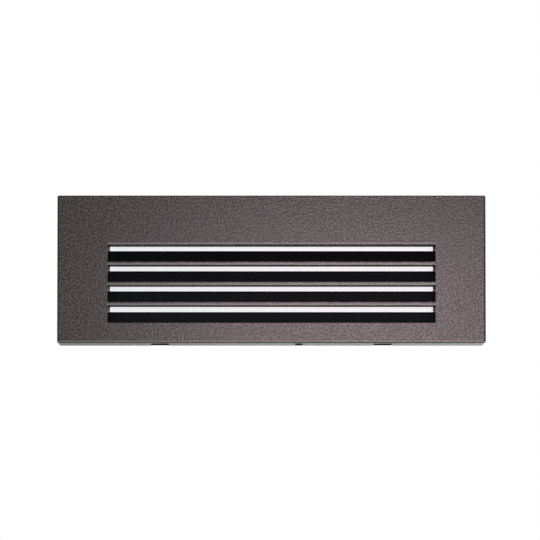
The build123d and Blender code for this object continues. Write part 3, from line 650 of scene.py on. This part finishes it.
class STEPLIGHT_OT_lamp(bpy.types.Operator):
    """Gives the reflector, the light board and its light sources their finishes"""

    bl_idname = "steplight.lamp"
    bl_label = "Light board"

    def execute(self, context):
        # Highly reflective white polycarbonate, moulded.
        white = moulded("white_polycarbonate_reflector", "EFEFEC", "E6E6E3", 0.6, 0.45, POLYCARBONATE_IOR)
        dress(["reflector"], white)

        # White solder mask over glass-fibre laminate: the weave shows faintly through it.
        material, tree = blank("white_solder_mask")
        where = add(tree, "ShaderNodeTexCoord").outputs["Object"]
        weave = add(tree, "ShaderNodeTexWave", {"wave_type": "BANDS", "bands_direction": "DIAGONAL"}, {
            "Vector": where, "Scale": PER_M / 6.0, "Distortion": 0.4,
        }).outputs["Fac"]
        cloud = add(tree, "ShaderNodeTexNoise", inputs={
            "Vector": where, "Scale": PER_M / 8.0, "Detail": 2.0,
        }).outputs["Fac"]
        colour = add(tree, "ShaderNodeMix", {"data_type": "RGBA"}, {
            "Factor": cloud, 6: linear("E9EAE7"), 7: linear("DEE0DC"),
        })
        rough = add(tree, "ShaderNodeMapRange", inputs={"Value": weave, "To Min": 0.3, "To Max": 0.4})
        relief = add(tree, "ShaderNodeBump", inputs={
            "Height": weave, "Distance": 0.02 / PER_M, "Strength": 0.4,
        })
        shader = add(tree, "ShaderNodeBsdfPrincipled", inputs={
            "Base Color": colour.outputs[2], "Roughness": rough.outputs[0], "IOR": EPOXY_IOR,
            "Normal": relief.outputs[0],
        })
        add(tree, "ShaderNodeOutputMaterial", inputs={"Surface": shader.outputs[0]})
        dress(["led_board"], material)

        # Yellow phosphor in clear silicone, cast in a white cup.
        material, tree = blank("phosphor_in_silicone")
        where = add(tree, "ShaderNodeTexCoord").outputs["Object"]
        dust = add(tree, "ShaderNodeTexNoise", inputs={
            "Vector": where, "Scale": PER_M / 0.3, "Detail": 3.0,
        }).outputs["Fac"]
        colour = add(tree, "ShaderNodeMix", {"data_type": "RGBA"}, {
            "Factor": dust, 6: linear("F2D04A"), 7: linear("E6BE2E"),
        })
        rough = add(tree, "ShaderNodeMapRange", inputs={"Value": dust, "To Min": 0.15, "To Max": 0.37})
        relief = add(tree, "ShaderNodeBump", inputs={
            "Height": dust, "Distance": 0.02 / PER_M, "Strength": 0.4,
        })
        shader = add(tree, "ShaderNodeBsdfPrincipled", inputs={
            "Base Color": colour.outputs[2], "Roughness": rough.outputs[0], "IOR": SILICONE_IOR,
            "Normal": relief.outputs[0],
        })
        add(tree, "ShaderNodeOutputMaterial", inputs={"Surface": shader.outputs[0]})
        dress(["leds"], material)
        # Nylon as it comes from the mould: cream, with a soft sheen.
        dress(["board_connector"], moulded("nylon_connector", "E4DFCB", "DAD4BE", 0.5, 0.42, NYLON_IOR))
        return {"FINISHED"}


class STEPLIGHT_OT_wiring(bpy.types.Operator):
    """Gives the driver, the terminal block and the leads their finishes"""

    bl_idname = "steplight.wiring"
    bl_label = "Driver and wiring"

    def execute(self, context):
        # Moulded polycarbonate and polyamide: dark and grey, with a dull moulded grain.
        black = moulded("black_polycarbonate_case", "1B1B1D", "232326", 0.6, 0.48, POLYCARBONATE_IOR)
        dress(["driver_case"], black)
        grey = moulded("grey_polyamide_terminal", "A2A4A6", "96989B", 0.5, 0.42, NYLON_IOR)
        dress(["terminal_block"], grey)
        dress(["board_lead_red"], insulation("red_wire_insulation", "A81A17", "971512"))
        black = insulation("black_wire_insulation", "171717", "1F1F20")
        dress(["board_lead_black", "input_lead_black"], black)
        dress(["input_lead_white"], insulation("white_wire_insulation", "E3E3E0", "D8D8D4"))
        dress(["ground_lead"], insulation("green_wire_insulation", "1C6B34", "17602D"))
        return {"FINISHED"}


class STEPLIGHT_OT_fasteners(bpy.types.Operator):
    """Gives the screws and the spring clips their metals"""

    bl_idname = "steplight.fasteners"
    bl_label = "Screws and clips"

    def execute(self, context):
        steel = drawn_metal("turned_stainless_steel", "BFC0C2", "ABACAF", (1, 1, 1), 0.25, 0.3)
        dress([
            "louver_screws", "clip_screws", "frame_screws", "board_screws", "driver_screws", "terminal_screw",
            "ear_screws",
        ], steel)
        dress(["left_spring_clip", "right_spring_clip"],
              drawn_metal("blue_tempered_spring_steel", "A8ABB0", "8F949C", (0.1, 1, 1), 0.3, 0.28))
        dress(["ground_screw"], drawn_metal("green_dyed_brass", "4E7A4A", "446C41", (1, 1, 1), 0.3, 0.36))
        # Black phosphate on hardened steel: thin, dry and nearly black.
        dress(["lock_screw"], drawn_metal("black_phosphate_steel", "131315", "0D0D0F", (1, 1, 1), 0.3, 0.6))
        return {"FINISHED"}


class STEPLIGHT_OT_threads(bpy.types.Operator):
    """Cuts the look of a pipe thread into the open conduit hub, as a row of thread crests"""

    bl_idname = "steplight.threads"
    bl_label = "Hub thread"

    def execute(self, context):
        look = context.scene.step_light_threads
        # Tapped zinc-plated steel: the crests are worn bright by the tap.
        material = drawn_metal("tapped_zinc_plated_steel", "BFC2C5", "A4A8AC", (1, 1, 1), 0.3, 0.3)
        tree = bpy.data.node_groups.new("thread_crests", "GeometryNodeTree")
        tree.interface.new_socket("Geometry", in_out="OUTPUT", socket_type="NodeSocketGeometry")
        sizes = {
            "Bore radius": HUB_BORE, "Crest height": CREST_HEIGHT, "Pitch": look.pitch,
            "First crest": HUB_FACE - CREST_INSET, "Depth": HUB_PLACE[0], "Height": HUB_PLACE[1],
        }
        for name in sizes:
            tree.interface.new_socket(name, in_out="INPUT", socket_type="NodeSocketFloat")
        tree.interface.new_socket("Crests", in_out="INPUT", socket_type="NodeSocketInt")
        given = add(tree, "NodeGroupInput").outputs
        start = add(tree, "ShaderNodeCombineXYZ", inputs={
            "X": given["First crest"], "Y": given["Depth"], "Z": given["Height"],
        })
        back = add(tree, "ShaderNodeMath", {"operation": "MULTIPLY"}, {0: given["Pitch"], 1: -1.0})
        step = add(tree, "ShaderNodeCombineXYZ", inputs={"X": back.outputs[0]})
        row = add(tree, "GeometryNodeMeshLine", {"mode": "OFFSET", "count_mode": "TOTAL"}, {
            "Count": given["Crests"], "Start Location": start.outputs[0], "Offset": step.outputs[0],
        })
        circle = add(tree, "GeometryNodeCurvePrimitiveCircle", {"mode": "RADIUS"}, {
            "Resolution": RING_SIDES, "Radius": given["Bore radius"],
        })
        crest = add(tree, "GeometryNodeCurvePrimitiveCircle", {"mode": "RADIUS"}, {
            "Resolution": CREST_SIDES, "Radius": given["Crest height"],
        })
        ring = add(tree, "GeometryNodeCurveToMesh", inputs={
            "Curve": circle.outputs["Curve"], "Profile Curve": crest.outputs["Curve"],
        })
        upright = add(tree, "GeometryNodeTransform", inputs={
            "Geometry": ring.outputs[0], "Rotation": (0.0, math.pi / 2, 0.0),
        })
        rings = add(tree, "GeometryNodeInstanceOnPoints", inputs={
            "Points": row.outputs["Mesh"], "Instance": upright.outputs[0],
        })
        real = add(tree, "GeometryNodeRealizeInstances", inputs={"Geometry": rings.outputs[0]})
        dressed = add(tree, "GeometryNodeSetMaterial", inputs={
            "Geometry": real.outputs[0], "Material": material,
        })
        add(tree, "NodeGroupOutput", inputs={"Geometry": dressed.outputs[0]})

        holder = bpy.data.objects.new("thread_builder", bpy.data.meshes.new("thread_builder"))
        context.scene.collection.objects.link(holder)
        modifier = holder.modifiers.new("thread_crests", "NODES")
        modifier.node_group = tree
        for item in tree.interface.items_tree:
            if item.in_out == "INPUT":
                modifier[item.identifier] = sizes.get(item.name, look.crests)
        context.view_layer.update()
        graph = context.evaluated_depsgraph_get()
        mesh = bpy.data.meshes.new_from_object(holder.evaluated_get(graph))
        bpy.data.objects.remove(holder)
        threads = bpy.data.objects.new("hub_threads", mesh)
        context.scene.collection.objects.link(threads)
        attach(threads, "back_box_assembly")
        return {"FINISHED"}


def soft_box(name, at, aim, width, height, watts, colour):
    """A soft box: an area light at a place, turned to face aim."""
    data = bpy.data.lights.new(name, "AREA")
    data.shape, data.size, data.size_y = "RECTANGLE", width, height
    data.energy, data.color = watts, linear(colour)[:3]
    lamp = bpy.data.objects.new(name, data)
    bpy.context.scene.collection.objects.link(lamp)
    lamp.location = at
    lamp.rotation_euler = (Vector(aim) - Vector(at)).to_track_quat("-Z", "Y").to_euler()
    lamp.visible_camera = False


class STEPLIGHT_OT_stage(bpy.types.Operator):
    """Makes the camera, the soft boxes, the white world and the pale floor"""

    bl_idname = "steplight.stage"
    bl_label = "Stage"

    def execute(self, context):
        scene, look = context.scene, context.scene.step_light_stage
        scene.view_settings.view_transform = "Standard"
        aim = Vector(VIEW_CENTRE)
        back = Vector((0.0, -math.cos(look.below), -math.sin(look.below)))
        data = bpy.data.cameras.new("camera")
        data.sensor_width = SENSOR_MM
        data.lens = data.sensor_width * look.distance / look.across
        data.clip_end = VIEW_END
        camera = bpy.data.objects.new("camera", data)
        scene.collection.objects.link(camera)
        camera.location = aim + back * look.distance
        camera.rotation_euler = (-back).to_track_quat("-Z", "Y").to_euler()
        scene.camera = camera

        # The white surround shows to the camera, in shiny surfaces and through clear ones.
        world = bpy.data.worlds.new("white_surround")
        scene.world = world
        world.use_nodes = True
        tree = world.node_tree
        tree.nodes.clear()
        path = add(tree, "ShaderNodeLightPath").outputs
        straight = add(tree, "ShaderNodeMath", {"operation": "MAXIMUM"}, {
            0: path["Is Camera Ray"], 1: path["Is Transmission Ray"],
        })
        shown = add(tree, "ShaderNodeMath", {"operation": "MAXIMUM"}, {
            0: straight.outputs[0], 1: path["Is Glossy Ray"],
        })
        room = add(tree, "ShaderNodeBackground", inputs={"Color": linear("FFFFFF"), "Strength": look.room})
        white = add(tree, "ShaderNodeBackground", inputs={"Color": linear("FFFFFF"), "Strength": 1.0})
        mixed = add(tree, "ShaderNodeMixShader", inputs={
            0: shown.outputs[0], 1: room.outputs[0], 2: white.outputs[0],
        })
        add(tree, "ShaderNodeOutputWorld", inputs={"Surface": mixed.outputs[0]})

        for values in SOFT_BOXES:
            soft_box(*values)

        mesh = bpy.data.meshes.new("floor")
        signs = ((-1, -1), (1, -1), (1, 1), (-1, 1))
        corners = [(x * FLOOR_HALF, y * FLOOR_HALF, FLOOR_HEIGHT) for x, y in signs]
        mesh.from_pydata(corners, [], [(0, 1, 2, 3)])
        floor = bpy.data.objects.new("floor", mesh)
        scene.collection.objects.link(floor)
        material, tree = blank("pale_studio_floor")
        where = add(tree, "ShaderNodeTexCoord").outputs["Object"]
        grain = add(tree, "ShaderNodeTexNoise", inputs={
            "Vector": where, "Scale": PER_M / 4.0, "Detail": 3.0,
        }).outputs["Fac"]
        colour = add(tree, "ShaderNodeMix", {"data_type": "RGBA"}, {
            "Factor": grain, 6: linear("F4F4F4"), 7: linear("EFEFEF"),
        })
        rough = add(tree, "ShaderNodeMapRange", inputs={"Value": grain, "To Min": 0.7, "To Max": 0.9})
        # It shows white to the camera, in shiny surfaces and through clear ones, keeps the object's shadow,
        # and is clear from below.
        path = add(tree, "ShaderNodeLightPath").outputs
        straight = add(tree, "ShaderNodeMath", {"operation": "MAXIMUM"}, {
            0: path["Is Camera Ray"], 1: path["Is Transmission Ray"],
        })
        shown = add(tree, "ShaderNodeMath", {"operation": "MAXIMUM"}, {
            0: straight.outputs[0], 1: path["Is Glossy Ray"],
        })
        glow = add(tree, "ShaderNodeMath", {"operation": "MULTIPLY"}, {0: shown.outputs[0], 1: FLOOR_WHITE})
        shader = add(tree, "ShaderNodeBsdfPrincipled", inputs={
            "Base Color": colour.outputs[2], "Roughness": rough.outputs[0],
            "Emission Color": colour.outputs[2], "Emission Strength": glow.outputs[0],
        })
        behind = add(tree, "ShaderNodeNewGeometry").outputs["Backfacing"]
        clear = add(tree, "ShaderNodeBsdfTransparent")
        sided = add(tree, "ShaderNodeMixShader", inputs={
            0: behind, 1: shader.outputs[0], 2: clear.outputs[0],
        })
        add(tree, "ShaderNodeOutputMaterial", inputs={"Surface": sided.outputs[0]})
        mesh.materials.append(material)
        return {"FINISHED"}


class STEPLIGHT_PT_looks(bpy.types.Panel):
    """Lists the step light's finishes and its stage"""

    bl_idname = "STEPLIGHT_PT_looks"
    bl_label = "Step Light"
    bl_space_type = "VIEW_3D"
    bl_region_type = "UI"
    bl_category = "Step Light"

    def draw(self, context):
        for operator in OPERATORS:
            self.layout.operator(operator.bl_idname)
        for name, group in GROUPS.items():
            box = self.layout.box()
            settings = getattr(context.scene, name)
            for value in group.__annotations__:
                box.prop(settings, value)


GROUPS = {
    "step_light_plate": StepLightPlate,
    "step_light_louvers": StepLightLouvers,
    "step_light_lens": StepLightLens,
    "step_light_threads": StepLightThreads,
    "step_light_stage": StepLightStage,
}
OPERATORS = (
    STEPLIGHT_OT_stage,
    STEPLIGHT_OT_plate,
    STEPLIGHT_OT_louvers,
    STEPLIGHT_OT_lens,
    STEPLIGHT_OT_box,
    STEPLIGHT_OT_threads,
    STEPLIGHT_OT_lamp,
    STEPLIGHT_OT_wiring,
    STEPLIGHT_OT_fasteners,
)


def register():
    for group in GROUPS.values():
        bpy.utils.register_class(group)
    for name, group in GROUPS.items():
        setattr(bpy.types.Scene, name, bpy.props.PointerProperty(type=group))
    for operator in OPERATORS:
        bpy.utils.register_class(operator)
    bpy.utils.register_class(STEPLIGHT_PT_looks)


def unregister():
    bpy.utils.unregister_class(STEPLIGHT_PT_looks)
    for operator in reversed(OPERATORS):
        bpy.utils.unregister_class(operator)
    for name, group in GROUPS.items():
        delattr(bpy.types.Scene, name)
        bpy.utils.unregister_class(group)


def main():
    register()
    bpy.ops.steplight.stage()
    bpy.ops.steplight.plate()
    bpy.ops.steplight.louvers()
    bpy.ops.steplight.lens()
    bpy.ops.steplight.box()
    bpy.ops.steplight.threads()
    bpy.ops.steplight.lamp()
    bpy.ops.steplight.wiring()
    bpy.ops.steplight.fasteners()
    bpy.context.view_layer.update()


if __name__ == "__main__":
    main()
